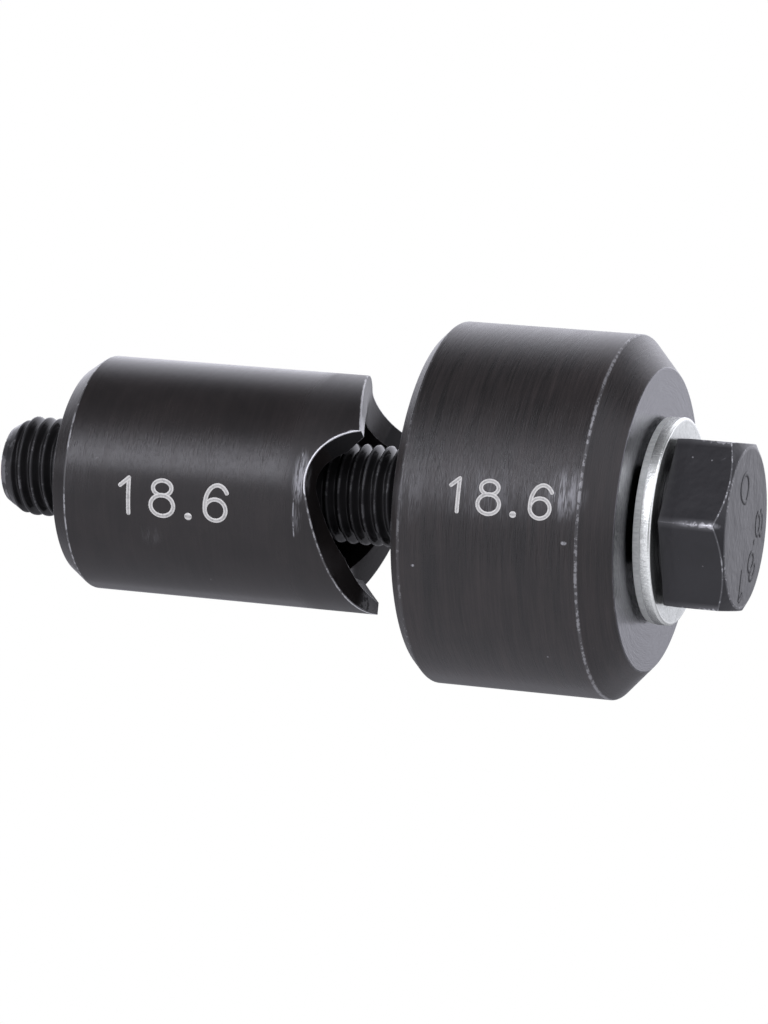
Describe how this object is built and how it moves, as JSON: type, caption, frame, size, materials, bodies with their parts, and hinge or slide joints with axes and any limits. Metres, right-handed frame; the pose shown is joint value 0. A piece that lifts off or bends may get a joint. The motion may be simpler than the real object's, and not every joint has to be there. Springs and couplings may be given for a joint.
{
  "type": "knockout punch",
  "caption": "Screw-drawn knockout punch for sheet metal: a hollow toothed punch that a hex-headed draw bolt with a washer pulls into a thick-walled round die.",
  "frame": {"origin": "centre of the end face of the bolt's head, on which the tool stands", "axes": "+Z along the bolt from its head to its tip; a corner of the head and a root of the teeth face about -Y"},
  "size_m": [0.0282, 0.0282, 0.0606],
  "materials": {
    "punch_steel": "black oxide, satin, bright on worn edges",
    "die_steel": "black oxide over turned steel, satin, ground rear face",
    "bolt_steel": "black oxide, satin, scuffed corners",
    "washer_zinc": "bright zinc plating"
  },
  "bodies": {
    "die": {"die": "die_steel"},
    "washer": {"washer": "washer_zinc"},
    "draw_bolt": {"draw_bolt": "bolt_steel"},
    "punch": {"punch": "punch_steel"}
  },
  "joints": [
    {"name": "draw_slide", "type": "slide", "parent": "die", "child": "washer", "axis": [0, 0, 1], "range_m": [-0.0045, 0.0003]},
    {"name": "bolt_turn", "type": "hinge", "parent": "washer", "child": "draw_bolt", "pos_m": [0, 0, 0.003], "axis": [0, 0, 1], "range_deg": [-2160, 3960]},
    {"name": "punch_travel", "type": "slide", "parent": "washer", "child": "punch", "axis": [0, 0, 1], "range_m": [-0.0111, 0.0061]}
  ],
  "couplings": [
    {"joint": "punch_travel", "follows": "bolt_turn", "m_per_rad": -0.00015915}
  ]
}
